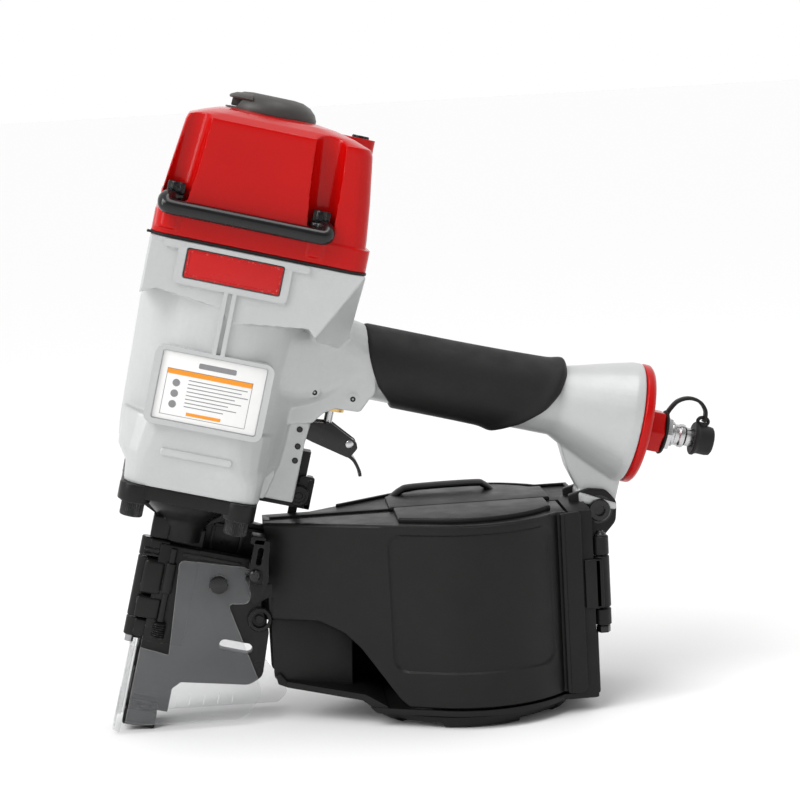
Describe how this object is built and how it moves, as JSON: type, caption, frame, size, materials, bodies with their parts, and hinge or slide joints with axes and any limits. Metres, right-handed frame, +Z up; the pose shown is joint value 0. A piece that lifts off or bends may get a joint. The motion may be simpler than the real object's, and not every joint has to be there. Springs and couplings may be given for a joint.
{
  "type": "pneumatic coil nail gun",
  "caption": "Industrial pneumatic coil nailer with leaned driver body, gripped handle, swinging canister magazine, hinged nose door and clear nail shield.",
  "frame": {"origin": "middle of the outline on the surface that the canister base and contact foot stand on", "axes": "+Z up along the canister axis, +X from the nose towards the handle's air plug, -Y the side of the labels and the magazine cover; the driver axis leans 15 degrees from +Z towards +X"},
  "size_m": [0.3684, 0.125, 0.3638],
  "materials": {
    "painted_aluminium": "satin",
    "red_paint": "gloss",
    "charcoal_plastic": "satin",
    "dark_plastic": "matte",
    "black_steel": "satin",
    "nose_steel": "satin",
    "bright_steel": "brushed",
    "spring_steel": "satin",
    "light_alloy": "machined",
    "brass": "machined",
    "black_rubber": "matte",
    "clear_plastic": "clear",
    "label_red": "gloss",
    "label_white": "satin"
  },
  "bodies": {
    "root": {"housing": "painted_aluminium", "cap_gasket": "black_rubber", "cylinder_cap": "red_paint", "cap_bolts": "black_steel", "guard_bars": "black_steel", "cylinder_sleeve": "light_alloy", "sleeve_seals": "black_rubber", "bumper": "black_rubber", "handle_grip": "black_rubber", "end_cap": "red_paint", "end_cap_seal": "black_rubber", "air_plug": "bright_steel", "name_plate": "label_red", "rating_label": "label_white", "bracket_pins": "black_steel", "roll_pins": "black_steel", "valve_housing": "brass", "nose_body": "nose_steel", "nose_bolts": "black_steel", "arm_guide": "nose_steel", "feed_cylinder": "nose_steel", "feed_cylinder_cap": "black_steel", "shield_far": "clear_plastic", "magazine_body": "charcoal_plastic", "magazine_base": "charcoal_plastic", "magazine_hinge_pin": "black_steel", "mount_bolt": "black_steel", "mount_nut": "black_steel", "door_hinge_pin": "spring_steel", "deflector_bolt": "black_steel", "dust_cap_strap": "black_rubber", "head_valve_spring": "spring_steel", "valve_spring": "spring_steel", "contact_spring": "spring_steel", "feed_spring": "spring_steel"},
    "piston_set": {"piston": "light_alloy", "driver_blade": "spring_steel", "piston_ring": "black_rubber"},
    "head_valve_set": {"head_valve": "light_alloy", "head_valve_seal": "black_rubber", "piston_stop": "black_rubber"},
    "deflector": {"exhaust_deflector": "dark_plastic"},
    "trigger_set": {"trigger": "black_steel", "lever_pin": "spring_steel"},
    "lever": {"contact_lever": "spring_steel"},
    "stem": {"valve_stem": "brass"},
    "contact_set": {"contact_foot": "nose_steel", "contact_arm": "nose_steel"},
    "door": {"nose_door": "nose_steel", "shield_near": "clear_plastic", "shield_screw": "black_steel", "latch_pin": "spring_steel", "pawl_pin": "spring_steel"},
    "latch": {"door_latch": "nose_steel"},
    "pawls": {"check_pawls": "spring_steel"},
    "cover": {"magazine_cover": "charcoal_plastic"},
    "feeder": {"feed_piston": "spring_steel"},
    "feed_tooth": {"feed_pawl": "spring_steel"},
    "tray": {"nail_tray": "light_alloy"},
    "plug_cap": {"dust_cap": "black_rubber"}
  },
  "joints": [
    {"name": "piston_stroke", "type": "slide", "parent": "root", "child": "piston_set", "axis": [-0.2588, 0, -0.9659], "range_m": [0, 0.0968]},
    {"name": "head_valve_lift", "type": "slide", "parent": "root", "child": "head_valve_set", "axis": [0.2588, 0, 0.9659], "range_m": [0, 0.005], "stiffness_N_per_m": 1500, "springref_m": -0.004, "deforming": ["head_valve_spring"]},
    {"name": "deflector_turn", "type": "hinge", "parent": "root", "child": "deflector", "pos_m": [-0.06418, 0, 0.35057], "axis": [0.2588, 0, 0.9659], "continuous": true},
    {"name": "trigger_swing", "type": "hinge", "parent": "root", "child": "trigger_set", "pos_m": [-0.05944, 0, 0.17082], "axis": [0, -1, 0], "range_deg": [0, 12], "stiffness_Nm_per_rad": 0.6, "springref_deg": -11.46},
    {"name": "lever_swing", "type": "hinge", "parent": "trigger_set", "child": "lever", "pos_m": [-0.03118, 0, 0.15921], "axis": [0, 1, 0], "range_deg": [0, 13], "stiffness_Nm_per_rad": 0.08, "springref_deg": -11.46},
    {"name": "stem_travel", "type": "slide", "parent": "root", "child": "stem", "axis": [0.2588, 0, 0.9659], "range_m": [0, 0.003], "stiffness_N_per_m": 900, "springref_m": -0.003, "deforming": ["valve_spring"]},
    {"name": "contact_travel", "type": "slide", "parent": "root", "child": "contact_set", "axis": [0.2588, 0, 0.9659], "range_m": [0, 0.01], "stiffness_N_per_m": 1200, "springref_m": -0.035, "deforming": ["contact_spring"]},
    {"name": "door_swing", "type": "hinge", "parent": "root", "child": "door", "pos_m": [-0.15745, -0.008, 0.08361], "axis": [-0.2588, 0, -0.9659], "range_deg": [0, 100]},
    {"name": "latch_swing", "type": "hinge", "parent": "door", "child": "latch", "pos_m": [-0.09038, -0.025, 0.09049], "axis": [0, -1, 0], "range_deg": [0, 20], "stiffness_Nm_per_rad": 0.2, "springref_deg": -8.59},
    {"name": "check_pawl_swing", "type": "hinge", "parent": "door", "child": "pawls", "pos_m": [-0.09596, -0.009, 0.06196], "axis": [0.2588, 0, 0.9659], "range_deg": [0, 10], "stiffness_Nm_per_rad": 0.05, "springref_deg": -5.73},
    {"name": "cover_swing", "type": "hinge", "parent": "root", "child": "cover", "pos_m": [0.1072, -0.037, 0.075], "axis": [0, 0, 1], "range_deg": [0, 110]},
    {"name": "feed_stroke", "type": "slide", "parent": "root", "child": "feeder", "axis": [0.9659, 0, -0.2588], "range_m": [0, 0.01], "stiffness_N_per_m": 600, "springref_m": -0.01, "deforming": ["feed_spring"]},
    {"name": "feed_pawl_swing", "type": "hinge", "parent": "feeder", "child": "feed_tooth", "pos_m": [-0.11686, 0.02, 0.08827], "axis": [0.2588, 0, 0.9659], "range_deg": [0, 10], "stiffness_Nm_per_rad": 0.05, "springref_deg": -5.73},
    {"name": "tray_height", "type": "slide", "parent": "root", "child": "tray", "axis": [0, 0, 1], "range_m": [0, 0.036]},
    {"name": "dust_cap_pull", "type": "slide", "parent": "root", "child": "plug_cap", "axis": [0.9659, 0, -0.2588], "range_m": [0, 0.014], "deforming": ["dust_cap_strap"]}
  ]
}
